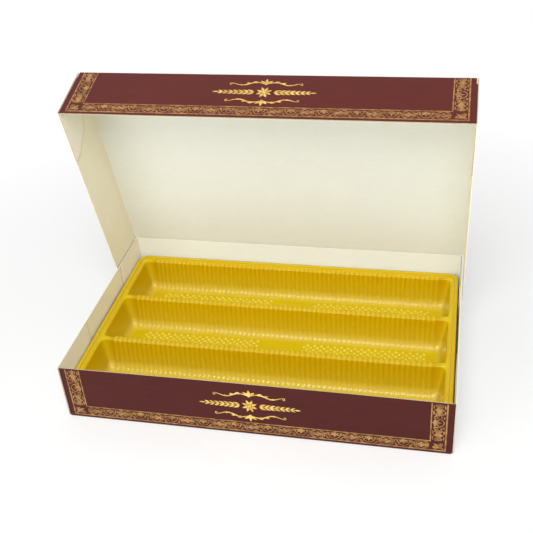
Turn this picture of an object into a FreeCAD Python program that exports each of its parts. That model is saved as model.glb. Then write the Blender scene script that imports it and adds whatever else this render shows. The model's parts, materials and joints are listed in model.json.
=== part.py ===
import FreeCAD, Part
import math
import os

Vector = FreeCAD.Vector

# Sweet box of folded duplex board: a full-depth lid creased to the back wall
# of the base, six pasted corners and one loose formed tray with three
# compartments. Millimetres, +Z up, origin under the middle of the closed box,
# front towards -Y. The lid is modelled closed and then turned open.

# Board carton
box_length = 305.0          # across the lid walls, along X
box_width = 190.0           # lid front wall to back wall, along Y
box_height = 51.0           # closed, underside to lid top
board = 0.6                 # thickness of the board
crease_radius = 0.4         # inside radius of every folded edge
glue_film = 0.1             # paste between a corner tab and its wall
glue_margin = 2.5           # bare edge left round each patch of paste
slip = 0.5                  # lid walls to base walls, all round
lid_rest = 0.3              # lid panel above the base wall tops when closed
skirt_gap = 0.8             # lid walls above the table when closed
hinge_gap = 0.1             # lid panel to the rounded top of the back wall
open_angle = 75.0           # opening of the lid as modelled, degrees

# Corner tabs, measured from the outer face of the wall that they fold from
base_front_tab = 57.0
base_back_tab = 47.0
base_tab_cut = 18.0         # slanted cut at the lower end of a base tab
base_tab_lift = 0.5         # base tabs above the fold of the base panel
lid_tab = 48.0
lid_tab_end = 8.0           # upright end of a lid tab at the free edge
lid_tab_shoulder = 27.0     # height of its slanted shoulder above the free edge
lid_tab_slant = 11.0        # length of that shoulder
lid_tab_drop = 7.0          # lid tab below the lid top at the front corner

# Formed tray
tray_sheet = 0.4            # thickness of the plastic sheet
tray_gap = 1.0              # rim to the walls and tabs around it
tray_seat = 0.15            # tray floors above the base panel
rim_drop = 19.0             # rim below the base wall tops
rim_width = 7.0
rim_corner = 9.0
rim_lip = 2.0               # edge of the rim, turned down
compartment_count = 3
ridge_width = 5.0           # flat top between two compartments
compartment_corner = 7.0
long_draft = 3.5            # how far a long wall leans in, rim to floor bevel
end_draft = 6.0             # the same for an end wall
floor_bevel = 4.0           # slanted foot between walls and floor
flute_pitch = 3.75
flute_depth = 0.8
flute_end = 6.0             # plain wall between the last flute and the corner

# Faces of the board, from the outside of the lid inwards
fold = crease_radius + board
lid_side = box_length / 2
lid_tab_face = lid_side - board - glue_film
base_side = lid_tab_face - board - slip
base_tab_face = base_side - board - glue_film
lid_front = -box_width / 2
base_front = lid_front + board + slip
base_back = box_width / 2
hinge_y = base_back - board / 2
hinge_z = box_height - board / 2
wall_top = box_height - board - lid_rest
lid_rear = hinge_y - board / 2 - hinge_gap
lid_drop = box_height - skirt_gap

os.makedirs("parts", exist_ok=True)


def save(name, shape):
    # Writes one piece after testing that every solid in it is sound
    if not shape.isValid() or shape.Volume <= 0:
        raise ValueError("bad solid in " + name)
    shape.exportStep("parts/" + name + ".step")


def save_lid(name, shape):
    # Turns a piece of the closed lid open about the crease and writes it
    shape.rotate(Vector(0, hinge_y, hinge_z), Vector(1, 0, 0), -open_angle)
    save(name, shape)


def line(start, end):
    return Part.LineSegment(start, end).toShape()


def folded_section(place, height, round_top=False):
    # Section of a wall that folds up from a panel. place() puts a point given
    # by u, outwards from the wall's outer face, and v, from the panel's outer
    # face. The section starts where the flat panel ends.
    diagonal = math.sqrt(0.5)
    outer_mid = place(-fold * (1 - diagonal), fold * (1 - diagonal))
    inner_mid = place(-fold + crease_radius * diagonal, fold - crease_radius * diagonal)
    panel_out = place(-fold, 0)
    panel_in = place(-fold, board)
    wall_out = place(0, fold)
    wall_in = place(-board, fold)
    top_out = place(0, height)
    top_in = place(-board, height)
    if round_top:
        top = Part.Arc(top_out, place(-board / 2, height + board / 2), top_in).toShape()
    else:
        top = line(top_out, top_in)
    edges = [
        Part.Arc(panel_out, outer_mid, wall_out).toShape(),
        line(wall_out, top_out),
        top,
        line(top_in, wall_in),
        Part.Arc(wall_in, inner_mid, panel_in).toShape(),
        line(panel_in, panel_out),
    ]
    return Part.Face(Part.Wire(edges))


def box_between(low, high):
    size = high - low
    return Part.makeBox(size.x, size.y, size.z, low)


def end_wall(place, height, half_length, round_top=False):
    # Front or back wall, running along X between its corner folds
    section = folded_section(lambda u, v: place(-half_length, u, v), height, round_top)
    return section.extrude(Vector(2 * half_length, 0, 0))


def side_wall(place, height, crease, edge):
    # Side wall along Y: its fold spans crease, its flat part spans edge
    section = folded_section(lambda u, v: place(crease[0], u, v), height)
    wall = section.extrude(Vector(0, crease[1] - crease[0], 0))
    corner = place(edge[0], 0, fold)
    across = place(edge[1], -board, height)
    low = Vector(min(corner.x, across.x), corner.y, min(corner.z, across.z))
    high = Vector(max(corner.x, across.x), across.y, max(corner.z, across.z))
    return wall.fuse(box_between(low, high)).removeSplitter()


def outline_face(side, x, wall, inward, outline):
    # Upright outline in the plane of a side wall. Its points are a distance
    # from the outer face of the folded wall and a height.
    points = [Vector(side * x, wall + inward * along, z) for along, z in outline]
    return Part.Face(Part.makePolygon(points + points[:1]))


def corner_tab(side, face, wall, inward, length, outline):
    # Tab folded from a front or back wall, flat against a side wall
    bottom = min(z for along, z in outline)
    top = max(z for along, z in outline)
    section = folded_section(
        lambda u, v: Vector(side * (face + u), wall + inward * v, bottom), length)
    blank = section.extrude(Vector(0, 0, top - bottom))
    cutter = outline_face(side, face, wall, inward, outline)
    return blank.common(cutter.extrude(Vector(-side * fold, 0, 0)))


def paste_patch(side, face, wall, inward, outline):
    # Film of paste on the outer face of a tab, inside its outline
    flat = [(max(along, fold), z) for along, z in outline]
    patch = outline_face(side, face, wall, inward, flat).makeOffset2D(-glue_margin)
    return patch.extrude(Vector(side * glue_film, 0, 0))


def base_tab_outline(length):
    low = fold + base_tab_lift
    return [(0, low), (length - base_tab_cut, low), (length, low + base_tab_cut),
            (length, wall_top), (0, wall_top)]


# Base: panel, four walls, four corner tabs and their paste
base_fold_x = base_side - fold
base_wall_half = base_tab_face - fold
save("base_panel", box_between(
    Vector(-base_fold_x, base_front + fold, 0),
    Vector(base_fold_x, base_back - fold, board)))
save("base_front_wall", end_wall(
    lambda x, u, v: Vector(x, base_front - u, v), wall_top, base_wall_half))
save("base_back_wall", end_wall(
    lambda x, u, v: Vector(x, base_back + u, v), hinge_z, base_wall_half, round_top=True))

paste = []
for side_name, side in (("left", -1), ("right", 1)):
    save("base_" + side_name + "_wall", side_wall(
        lambda y, u, v: Vector(side * (base_side + u), y, v), wall_top,
        (base_front + fold, base_back - fold), (base_front, base_back)))
    for end_name, wall, inward, length in (
            ("front", base_front, 1, base_front_tab),
            ("back", base_back, -1, base_back_tab)):
        outline = base_tab_outline(length)
        save("base_" + end_name + "_" + side_name + "_tab", corner_tab(
            side, base_tab_face, wall, inward, length, outline))
        paste.append(paste_patch(side, base_tab_face, wall, inward, outline))
save("base_corner_paste", Part.makeCompound(paste))

# Lid: panel, three walls, two corner tabs and their paste, modelled closed
lid_fold_x = lid_side - fold
save_lid("lid_top_panel", box_between(
    Vector(-lid_fold_x, lid_front + fold, box_height - board),
    Vector(lid_fold_x, lid_rear, box_height)))
save_lid("lid_front_wall", end_wall(
    lambda x, u, v: Vector(x, lid_front - u, box_height - v), lid_drop, lid_tab_face - fold))

lid_outline = [
    (0, skirt_gap),
    (lid_tab, skirt_gap),
    (lid_tab, skirt_gap + lid_tab_end),
    (lid_tab - lid_tab_slant, skirt_gap + lid_tab_shoulder),
    (0, box_height - lid_tab_drop),
]
paste = []
for side_name, side in (("left", -1), ("right", 1)):
    save_lid("lid_" + side_name + "_wall", side_wall(
        lambda y, u, v: Vector(side * (lid_side + u), y, box_height - v), lid_drop,
        (lid_front + fold, lid_rear), (lid_front, lid_rear)))
    save_lid("lid_front_" + side_name + "_tab", corner_tab(
        side, lid_tab_face, lid_front, 1, lid_tab, lid_outline))
    paste.append(paste_patch(side, lid_tab_face, lid_front, 1, lid_outline))
save_lid("lid_corner_paste", Part.makeCompound(paste))

# Tray: one formed sheet, closed from an upper and a lower skin
tray_half_length = base_tab_face - board - tray_gap
tray_front = base_front + board + tray_gap
tray_back = base_back - board - tray_gap
tray_middle = (tray_front + tray_back) / 2
rim_top = wall_top - rim_drop
floor_bottom = board + tray_seat
inner_length = tray_half_length - rim_width
inner_depth = tray_back - tray_front - 2 * rim_width
ridges = (compartment_count - 1) * ridge_width
compartment_width = (inner_depth - ridges) / compartment_count
floor_half_length = inner_length - end_draft - floor_bevel
flute_room = 2 * (floor_half_length - compartment_corner - flute_end)
flute_count = int(flute_room / flute_pitch)


def tray_edge(points, z):
    # Two points give a straight edge, three an arc
    corners = [Vector(x, y, z) for x, y in points]
    if len(corners) == 2:
        return line(*corners)
    return Part.Arc(*corners).toShape()


def tray_wire(edges, z):
    return Part.Wire([tray_edge(points, z) for points in edges])


def rounded_outline(middle, half_length, half_width, corner, flutes=()):
    # Rounded rectangle about (0, middle) as a list of edges. flutes are the
    # points of a fluted long wall: a place along X and how far it stands in.
    bulge = corner * (1 - math.sqrt(0.5))
    near = [(corner - half_length, -half_width)]
    near += [(x, inset - half_width) for x, inset in flutes]
    near += [(half_length - corner, -half_width)]
    runs = list(zip(near, near[1:]))
    runs += [
        (near[-1], (half_length - bulge, bulge - half_width), (half_length, corner - half_width)),
        ((half_length, corner - half_width), (half_length, half_width - corner)),
        ((half_length, half_width - corner), (half_length - bulge, half_width - bulge),
         (half_length - corner, half_width)),
    ]
    turned = [[(-x, -y) for x, y in points] for points in runs]
    return [[(x, y + middle) for x, y in points] for points in runs + turned]


def wall_faces(lower, lower_z, upper, upper_z):
    # Faces between two outlines that have the same edges in the same order
    faces = []
    for low, high in zip(lower, upper):
        if len(low) == 2:
            corners = [Vector(x, y, lower_z) for x, y in low]
            corners += [Vector(x, y, upper_z) for x, y in reversed(high)]
            faces.append(Part.Face(Part.makePolygon(corners + corners[:1])))
        else:
            faces.append(Part.makeRuledSurface(tray_edge(low, lower_z), tray_edge(high, upper_z)))
    return faces


def tray_skin(grow, floor_z, rim_z, edge):
    # One side of the formed sheet: the walls and floors of all compartments,
    # and the rim with a mouth over each. grow is how far it lies outside,
    # edge the outline of the rim.
    step = flute_pitch / 2
    start = -flute_count * step
    flutes = [(start + k * step, flute_depth * (k % 2)) for k in range(2 * flute_count + 1)]
    faces = []
    mouths = []
    for k in range(compartment_count):
        first = tray_front + rim_width + compartment_width / 2
        middle = first + k * (compartment_width + ridge_width)
        levels = []
        for draft_x, draft_y, z in (
                (end_draft + floor_bevel, long_draft + floor_bevel, floor_z),
                (end_draft, long_draft, floor_z + floor_bevel),
                (0, 0, rim_z)):
            levels.append((rounded_outline(
                middle, inner_length - draft_x + grow, compartment_width / 2 - draft_y + grow,
                compartment_corner, flutes), z))
        for (lower, lower_z), (upper, upper_z) in zip(levels, levels[1:]):
            faces += wall_faces(lower, lower_z, upper, upper_z)
        faces.append(Part.Face(tray_wire(*levels[0])))
        mouths.append(tray_wire(*levels[-1]))
    faces.append(Part.makeFace([tray_wire(edge, rim_z)] + mouths, "Part::FaceMakerBullseye"))
    return faces


def rim_outline(inset):
    return rounded_outline(tray_middle, tray_half_length - inset,
                           (tray_back - tray_front) / 2 - inset, rim_corner - inset)


edge_out = rim_outline(0)
edge_in = rim_outline(tray_sheet)
lip_z = rim_top - rim_lip
under_z = rim_top - tray_sheet
faces = tray_skin(0, floor_bottom + tray_sheet, rim_top, edge_out)
faces += tray_skin(tray_sheet, floor_bottom, under_z, edge_in)
faces += wall_faces(edge_out, lip_z, edge_out, rim_top)
faces += wall_faces(edge_in, lip_z, edge_in, under_z)
faces.append(Part.makeFace([tray_wire(edge_out, lip_z), tray_wire(edge_in, lip_z)],
                           "Part::FaceMakerBullseye"))
skin = Part.makeShell(faces)
skin.sewShape()
tray = Part.makeSolid(skin)
if tray.Volume < 0:
    tray.reverse()
save("sweets_tray", tray)
print("tray volume", round(tray.Volume), "flutes", flute_count)
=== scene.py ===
import json
import math

import bmesh
import bpy
from mathutils import Matrix, Vector


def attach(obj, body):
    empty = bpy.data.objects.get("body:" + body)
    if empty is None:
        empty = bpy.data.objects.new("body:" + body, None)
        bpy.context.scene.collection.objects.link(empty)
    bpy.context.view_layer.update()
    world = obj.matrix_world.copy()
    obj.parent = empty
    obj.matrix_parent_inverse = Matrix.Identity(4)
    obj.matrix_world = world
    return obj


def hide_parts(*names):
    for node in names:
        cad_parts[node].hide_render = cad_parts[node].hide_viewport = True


# Sweet box of folded board with a golden formed tray, dressed round the frame.
# Front is -Y. Lid pieces are worked out on the closed box, then turned open.
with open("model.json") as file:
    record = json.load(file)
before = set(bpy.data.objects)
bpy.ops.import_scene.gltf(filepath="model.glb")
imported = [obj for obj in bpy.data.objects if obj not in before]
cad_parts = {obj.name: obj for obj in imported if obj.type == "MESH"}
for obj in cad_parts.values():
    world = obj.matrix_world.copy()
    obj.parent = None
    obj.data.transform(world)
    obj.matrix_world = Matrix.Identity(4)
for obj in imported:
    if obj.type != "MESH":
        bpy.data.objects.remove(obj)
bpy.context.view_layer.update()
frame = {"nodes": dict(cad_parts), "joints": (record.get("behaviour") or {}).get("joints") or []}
mm = 0.001
left, right = (-1, 0, 0), (1, 0, 0)
front, rear = (0, -1, 0), (0, 1, 0)
down, up = (0, 0, -1), (0, 0, 1)

# What the frame says
hingeJoint = next(joint for joint in frame["joints"] if joint["name"] == "lid_hinge")
hinge = Vector(hingeJoint["pos_m"])
openAngle = math.radians(-hingeJoint["range_deg"][0])  # closed is the lower limit
openTurn = (Matrix.Translation(hinge)
            @ Matrix.Rotation(openAngle, 4, Vector(hingeJoint["axis"]))
            @ Matrix.Translation(-hinge))
closeTurn = openTurn.inverted()
stay = Matrix.Identity(4)
turns = {"base": stay, "lid": openTurn}  # from the closed box to the pose of the frame


def nodeBox(node, turn=stay):
    points = [turn @ v.co for v in frame["nodes"][node].data.vertices]
    low = Vector([min(p[i] for p in points) for i in range(3)])
    high = Vector([max(p[i] for p in points) for i in range(3)])
    return low, high


panelLow, panelHigh = nodeBox("base_panel")
frontLow, frontHigh = nodeBox("base_front_wall")
backHigh = nodeBox("base_back_wall")[1]
lidTopHigh = nodeBox("lid_top_panel", closeTurn)[1]
lidFrontLow, lidFrontHigh = nodeBox("lid_front_wall", closeTurn)
lidSideHigh = nodeBox("lid_right_wall", closeTurn)[1]
trayLow, trayHigh = nodeBox("sweets_tray")
board = panelHigh.z - panelLow.z
fold = panelLow.y - frontLow.y  # outside radius of a crease
print("frame loaded, board", round(board / mm, 2), "mm")


# Small helpers for meshes and nodes

def srgb(r, g, b):
    def channel(c):
        c /= 255
        return c / 12.92 if c <= 0.04045 else ((c + 0.055) / 1.055) ** 2.4
    return (channel(r), channel(g), channel(b), 1.0)


def between(start, end, t):
    return start + (end - start) * t


def shares(steps):
    # Evenly spaced from 0 to 1
    return [k / steps for k in range(steps + 1)]


def around(x, y, radius, angle):
    # Point at a distance from (x, y), angle in degrees
    away = math.radians(angle)
    return x + radius * math.cos(away), y + radius * math.sin(away)


def put(tree, kind, inputs=None, **settings):
    # A node with its settings; inputs are values, or sockets to link from
    node = tree.nodes.new(kind)
    for name, value in settings.items():
        setattr(node, name, value)
    for key, value in (inputs or {}).items():
        if isinstance(value, bpy.types.NodeSocket):
            tree.links.new(value, node.inputs[key])
        else:
            node.inputs[key].default_value = value
    return node


def newTree(kind, name, inputs, outputs):
    # Node group with its labelled sockets; gives the tree and what comes in
    tree = bpy.data.node_groups.new(name, kind)
    for way, sockets in (("INPUT", inputs), ("OUTPUT", outputs)):
        for label, socket in sockets.items():
            tree.interface.new_socket(label, in_out=way, socket_type="NodeSocket" + socket)
    return tree, tree.nodes.new("NodeGroupInput").outputs


def mixColour(tree, factor, first, second):
    node = put(tree, "ShaderNodeMix", {0: factor, 6: first, 7: second}, data_type="RGBA")
    return node.outputs[2]


def maths(tree, operation, first, second):
    node = put(tree, "ShaderNodeMath", {0: first, 1: second}, operation=operation)
    return node.outputs[0]


def weighted(tree, *pairs):
    # Sum of values, each times its share
    total = 0.0
    for value, share in pairs:
        total = put(tree, "ShaderNodeMath", {0: value, 1: share, 2: total},
                    operation="MULTIPLY_ADD").outputs[0]
    return total


def mapRange(tree, value, given, toLow=0.0, toHigh=1.0):
    return put(tree, "ShaderNodeMapRange", {
        "Value": value, "From Min": given[0], "From Max": given[1],
        "To Min": toLow, "To Max": toHigh}).outputs["Result"]


def ownPlace(tree, stretch=None):
    # Object coordinates; a stretch below 1 draws a pattern out along that axis
    place = put(tree, "ShaderNodeTexCoord").outputs["Object"]
    if stretch:
        place = put(tree, "ShaderNodeVectorMath", {0: place, 1: stretch},
                    operation="MULTIPLY").outputs[0]
    return place


def noise(tree, place, scale, detail, roughness=0.5):
    return put(tree, "ShaderNodeTexNoise", {
        "Vector": place, "Scale": scale, "Detail": detail,
        "Roughness": roughness}).outputs["Fac"]


def meshValue(tree, name, output="Fac"):
    # What the mesh keeps under a name
    return put(tree, "ShaderNodeAttribute", attribute_name=name).outputs[output]


def addObject(name, data):
    made = bpy.data.objects.new(name, data)
    bpy.context.scene.collection.objects.link(made)
    return made


def meshPiece(name, verts, faces, materials, picks=None, smoothAngle=35):
    mesh = bpy.data.meshes.new(name)
    mesh.from_pydata([tuple(v) for v in verts], [], faces)
    for material in materials:
        mesh.materials.append(material)
    if picks:
        mesh.polygons.foreach_set("material_index", picks)
    mesh.polygons.foreach_set("use_smooth", [True] * len(mesh.polygons))
    mesh.set_sharp_from_angle(angle=math.radians(smoothAngle))
    mesh.update()
    return addObject(name, mesh)


def wearAndShade(piece, amounts):
    # How rubbed each point is, on the walls, and how much painted shade it has, beside the tabs;
    # read by the materials
    layer = piece.data.attributes.new("wearAndShade", "FLOAT", "POINT")
    layer.data.foreach_set("value", amounts)


def bodyOf(node):
    return node.split("_")[0]


def settle(piece, body, slot, *nodes):
    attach(piece, body)
    if nodes:
        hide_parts(*nodes)


# Shader groups shared by the papers and inks

def boardFibreGroup():
    # Cloudy tone, long fibres along X, stray specks and a fine relief
    tree, given = newTree("ShaderNodeTree", "boardFibre", {"Cloud": "Float", "Fibre": "Float"},
                          {"Tone": "Float", "Speck": "Float", "Height": "Float"})
    place = ownPlace(tree)
    cloud = noise(tree, place, given["Cloud"], detail=4.0)
    fibre = noise(tree, ownPlace(tree, stretch=(0.12, 1, 1)), given["Fibre"], detail=2.0)
    speck = noise(tree, place, scale=700.0, detail=1.0)
    tone = weighted(tree, (cloud, 0.4), (fibre, 0.6))
    put(tree, "NodeGroupOutput", {
        "Tone": mapRange(tree, tone, given=(0.32, 0.68)),
        "Speck": mapRange(tree, speck, given=(0.68, 0.76)), "Height": fibre})
    return tree


def edgeScuffGroup():
    # Rubbed patches, long along X, where the wear value is high
    tree, given = newTree("ShaderNodeTree", "edgeScuff", {"Wear": "Float"}, {"Mask": "Float"})
    long = ownPlace(tree, stretch=(0.3, 1, 1))
    grit = noise(tree, long, scale=420.0, detail=5.0, roughness=0.65)
    spread = noise(tree, ownPlace(tree), scale=24.0, detail=2.0)
    rubbed = weighted(tree, (grit, 0.7), (spread, 0.5), (given["Wear"], 0.62))
    put(tree, "NodeGroupOutput", {"Mask": mapRange(tree, rubbed, given=(1.17, 1.32))})
    return tree


boardFibre = boardFibreGroup()
edgeScuff = edgeScuffGroup()

# Papers and inks, each with a light and a dark tone
paperLook = {
    # cream and panel are one board in two tones: the walls' yellower cream and the panel's cooler,
    # paler tone are painted light
    "cream": (srgb(246, 242, 223), srgb(242, 236, 214)),
    "panel": (srgb(238, 242, 235), srgb(234, 238, 230)),
    # paler copy of the cream board for the tabs' inner faces: painted light
    "tab": (srgb(247, 243, 231), srgb(243, 238, 223)),
    "grey": (srgb(186, 186, 182), srgb(171, 170, 166)),
    "rawEdge": (srgb(212, 200, 170), srgb(172, 157, 124)),
    # painted shade, darkest beside the tabs' free edges
    "paintedShade": srgb(186, 156, 92),
    "creamSpeck": srgb(186, 166, 128),
    "greySpeck": srgb(96, 92, 86),
    "speckShare": 0.16,
    "relief": (0.05 * mm, 0.3),    # depth and strength
}
inkLook = {
    "maroonPrint": (srgb(94, 31, 23), srgb(85, 26, 20)),
    # darker copy of the maroon print for the base's walls and tabs: painted shade
    "shadedMaroon": (srgb(76, 20, 15), srgb(67, 16, 12)),
    "goldPrint": (srgb(184, 138, 72), srgb(132, 88, 42)),
    "brightGold": (srgb(242, 208, 112), srgb(208, 160, 70)),
    "scuff": srgb(214, 202, 194),
    "roughness": 0.48,
    "scuffRoughness": 0.75,
    "goldRoughness": 0.42,
    "relief": (0.04 * mm, 0.35),
}


def newMaterial(name, roughness, **fixed):
    material = bpy.data.materials.new(name)
    material.use_nodes = True
    shader = material.node_tree.nodes["Principled BSDF"]
    shader.inputs["Roughness"].default_value = roughness
    for label, value in fixed.items():
        shader.inputs[label.replace("_", " ")].default_value = value
    return material, material.node_tree, shader


def boardGrain(tree, shader, relief, cloud, fibre):
    # Tone and specks of the board, with its relief on the shader
    grain = put(tree, "ShaderNodeGroup", {"Cloud": cloud, "Fibre": fibre},
                node_tree=boardFibre).outputs
    bump = put(tree, "ShaderNodeBump", {
        "Height": grain["Height"], "Distance": relief[0], "Strength": relief[1]})
    tree.links.new(bump.outputs["Normal"], shader.inputs["Normal"])
    return grain


def boardMaterial(name, tones, speck="creamSpeck", roughness=0.82, fibre=900.0, paintedShade=None):
    look = paperLook
    material, tree, shader = newMaterial(name, roughness, Specular_IOR_Level=0.25)
    grain = boardGrain(tree, shader, look["relief"], cloud=45.0, fibre=fibre)
    faint = maths(tree, "MULTIPLY", grain["Speck"], look["speckShare"])
    colour = mixColour(tree, grain["Tone"], *look[tones])
    colour = mixColour(tree, faint, colour, look[speck])
    # darkens the wall beside the tabs: painted shade
    if paintedShade:
        shadeAmount = meshValue(tree, "wearAndShade")
        colour = mixColour(tree, maths(tree, "MULTIPLY", shadeAmount, shadeAmount), colour, look[paintedShade])
    tree.links.new(colour, shader.inputs["Base Color"])
    return material


def maroonInk(name):
    # Printed and laminated board, rubbed pale along its creases
    look = inkLook
    material, tree, shader = newMaterial(
        name, look["roughness"], Coat_Weight=0.03, Coat_Roughness=0.25, Specular_IOR_Level=0.2)
    grain = boardGrain(tree, shader, look["relief"], cloud=22.0, fibre=700.0)
    scuff = put(tree, "ShaderNodeGroup", {"Wear": meshValue(tree, "wearAndShade")},
                node_tree=edgeScuff).outputs["Mask"]
    colour = mixColour(tree, scuff, mixColour(tree, grain["Tone"], *look[name]), look["scuff"])
    rough = mapRange(tree, scuff, (0.0, 1.0), look["roughness"], look["scuffRoughness"])
    tree.links.new(colour, shader.inputs["Base Color"])
    tree.links.new(rough, shader.inputs["Roughness"])
    return material


def goldInk(name):
    # Shaded gold print: each figure runs from bright to brown
    look = inkLook
    material, tree, shader = newMaterial(
        name, look["goldRoughness"], Metallic=0.25, Coat_Weight=0.1)
    shade = noise(tree, ownPlace(tree), scale=260.0, detail=2.0)
    colour = mixColour(tree, mapRange(tree, shade, given=(0.36, 0.62)), *look[name])
    tree.links.new(colour, shader.inputs["Base Color"])
    boardGrain(tree, shader, look["relief"], cloud=22.0, fibre=700.0)
    return material


def colourInk(name):
    # Flat inks of the lid's design, their colours kept on the mesh
    look = inkLook
    material, tree, shader = newMaterial(
        name, look["roughness"], Coat_Weight=0.05, Specular_IOR_Level=0.25)
    ink = meshValue(tree, "ink", "Color")
    grain = boardGrain(tree, shader, look["relief"], cloud=30.0, fibre=700.0)
    dark = put(tree, "ShaderNodeHueSaturation", {"Value": 0.92, "Color": ink})
    colour = mixColour(tree, grain["Tone"], ink, dark.outputs["Color"])
    tree.links.new(colour, shader.inputs["Base Color"])
    return material


creamBoard = boardMaterial("creamBoard", "cream")
greyBoard = boardMaterial("greyBoard", "grey", "greySpeck", roughness=0.8, fibre=500.0)
panelBoard = boardMaterial("panelBoard", "panel")
tabBoard = boardMaterial("tabBoard", "tab")
tabEdgeShade = boardMaterial("tabEdgeShade", "cream", paintedShade="paintedShade")
rawEdge = boardMaterial("rawEdge", "rawEdge", roughness=0.9, fibre=1600.0)
maroonPrint = maroonInk("maroonPrint")
shadedMaroon = maroonInk("shadedMaroon")
goldPrint = goldInk("goldPrint")
brightGold = goldInk("brightGold")
colourPrint = colourInk("colourPrint")
print("papers and inks made")


# Board pieces that keep the frame's shape, with each side in its own paper
boardLook = {
    "weld": 0.002 * mm,      # points closer than this become one
    "facing": 0.3,           # how far a face turns out, or in, to take that paper
    "rearEnd": 0.05 * mm,    # points this close to the rear end move with it
    "lidEar": 1.8 * mm,      # lid side walls drawn out past their crease
}


def boardCopy(node, slot, outward, outside, inside, rearEar=0.0):
    # outward: directions, on the closed box, that count as the outside
    turn = turns[bodyOf(node)]
    back = turn.inverted()
    facing = boardLook["facing"]
    bm = bmesh.new()
    bm.from_mesh(frame["nodes"][node].data)
    bmesh.ops.remove_doubles(bm, verts=bm.verts, dist=boardLook["weld"])
    bm.normal_update()
    bm.verts.index_update()
    picks = []
    for face in bm.faces:
        normal = back.to_3x3() @ face.normal
        towards = [normal.dot(Vector(way)) for way in outward]
        picks.append(0 if max(towards) > facing else 1 if min(towards) < -facing else 2)
    verts = [back @ v.co for v in bm.verts]
    end = max(v.y for v in verts) - boardLook["rearEnd"]
    verts = [turn @ (v + Vector((0, rearEar if v.y > end else 0, 0))) for v in verts]
    faces = [[v.index for v in face.verts] for face in bm.faces]
    bm.free()
    piece = meshPiece(node + "_board", verts, faces, [outside, inside, rawEdge], picks)
    settle(piece, bodyOf(node), slot, node)


boardCopy("base_panel", "plain_board", [down], greyBoard, creamBoard)
boardCopy("lid_top_panel", "printed_board", [up], maroonPrint, panelBoard)
for side, way in (("left", left), ("right", right)):
    boardCopy(f"base_{side}_wall", "side_board", [way, down], greyBoard, creamBoard)
    boardCopy(f"lid_{side}_wall", "side_board", [way, up], greyBoard, creamBoard,
              boardLook["lidEar"])
    for end, ahead in (("front", front), ("back", rear)):
        boardCopy(f"base_{end}_{side}_tab", "plain_board", [way, ahead], shadedMaroon, tabBoard)
    boardCopy(f"lid_front_{side}_tab", "plain_board", [way, front], maroonPrint, tabBoard)
for node in ("base_corner_paste", "lid_corner_paste"):
    paste = frame["nodes"][node].data.materials
    paste.clear()
    paste.append(rawEdge)
print("panels, side walls and tabs papered")

# Painted shade on the side walls round each tab, darkest at its edges and fading outwards
tabShadeLook = {
    "width": 5.0 * mm,
    "overlap": 0.3,          # of the width, where two strips meet
    "lift": 0.015 * mm,
    "edgeClear": 5.5 * mm,
    "panelClear": 0.8 * mm,
    "shortest": 1.5 * mm,    # edges of a tab shorter than this get no strip
    "tabFace": 0.1 * mm,     # depth that counts as the tab's outer face
    "strength": 0.75,
}


def hull(points):
    # Corners of the convex outline, anticlockwise
    points = sorted(set(points))
    rows = []
    for ordered in (points, points[::-1]):
        row = []
        for p in ordered:
            while len(row) > 1 and ((row[-1][0] - row[-2][0]) * (p[1] - row[-2][1])
                                    - (row[-1][1] - row[-2][1]) * (p[0] - row[-2][0])) <= 1e-12:
                row.pop()
            row.append(p)
        rows += row[:-1]
    return rows


def tabLine(tab, wall, side):
    # Thin strips of painted shade on the wall's inner face, just outside the tab's free edges
    look = tabShadeLook
    width = look["width"]
    turn = turns[bodyOf(tab)]
    back = turn.inverted()
    low, high = nodeBox(wall, back)
    lowest, highest = low.z + look["panelClear"], high.z - look["panelClear"]
    nearest, farthest = low.y + look["edgeClear"], high.y - look["edgeClear"]
    x = side * (max(abs(low.x), abs(high.x)) - board - look["lift"])
    points = [back @ v.co for v in frame["nodes"][tab].data.vertices]
    reach = max(abs(p.x) for p in points) - look["tabFace"]
    edge = hull([(round(p.y, 6), round(p.z, 6)) for p in points if abs(p.x) > reach])
    verts, faces, shadeAmounts = [], [], []
    for (ay, az), (by, bz) in zip(edge, edge[1:] + edge[:1]):
        size = math.hypot(by - ay, bz - az)
        wayY, wayZ = (by - ay) / size, (bz - az) / size
        outY, outZ = wayZ * width, -wayY * width
        midY, midZ = (ay + by) / 2 + outY, (az + bz) / 2 + outZ
        if (size < look["shortest"] or not nearest < midY < farthest
                or not low.z < midZ < high.z):
            continue
        overY, overZ = look["overlap"] * width * wayY, look["overlap"] * width * wayZ
        corners = list(range(len(verts), len(verts) + 4))
        for y, z in ((ay, az), (by, bz), (by + outY + overY, bz + outZ + overZ),
                     (ay + outY - overY, az + outZ - overZ)):
            verts.append(turn @ Vector((x, y, min(max(z, lowest), highest))))
        faces.append(corners if side > 0 else corners[::-1])
        # painted shade, full at the tab's edge and none at the strip's outer side
        shadeAmounts += [look["strength"], look["strength"], 0.0, 0.0]
    piece = meshPiece(tab + "_pasteLine", verts, faces, [tabEdgeShade])
    wearAndShade(piece, shadeAmounts)
    settle(piece, bodyOf(tab), "paste")


for name, side in (("left", -1), ("right", 1)):
    for end in ("front", "back"):
        tabLine(f"base_{end}_{name}_tab", f"base_{name}_wall", side)
    tabLine(f"lid_front_{name}_tab", f"lid_{name}_wall", side)
print("tab outlines drawn")


# Front and back walls, folded from their panels and a little bowed
wallLook = {
    "stations": 56,
    "endStations": (4.0 * mm, 1.5 * mm),   # from the ends
    "arcSteps": 7,
    "rows": (0.02, 0.05, 0.1, 0.18, 0.3, 0.42, 0.54, 0.66, 0.78, 0.88, 0.94, 0.98, 1.0),
    "baseBow": 0.9 * mm,     # top of the base front wall, inwards
    "bowCurve": 1.6,
    "creaseWear": 1.8 * mm,
    "cornerWear": 5.0 * mm,
    "cornerShare": 0.75,     # wear of the corners beside that of the creases
    "lidRub": 0.8,
    "baseRub": 0.64,
}


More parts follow.
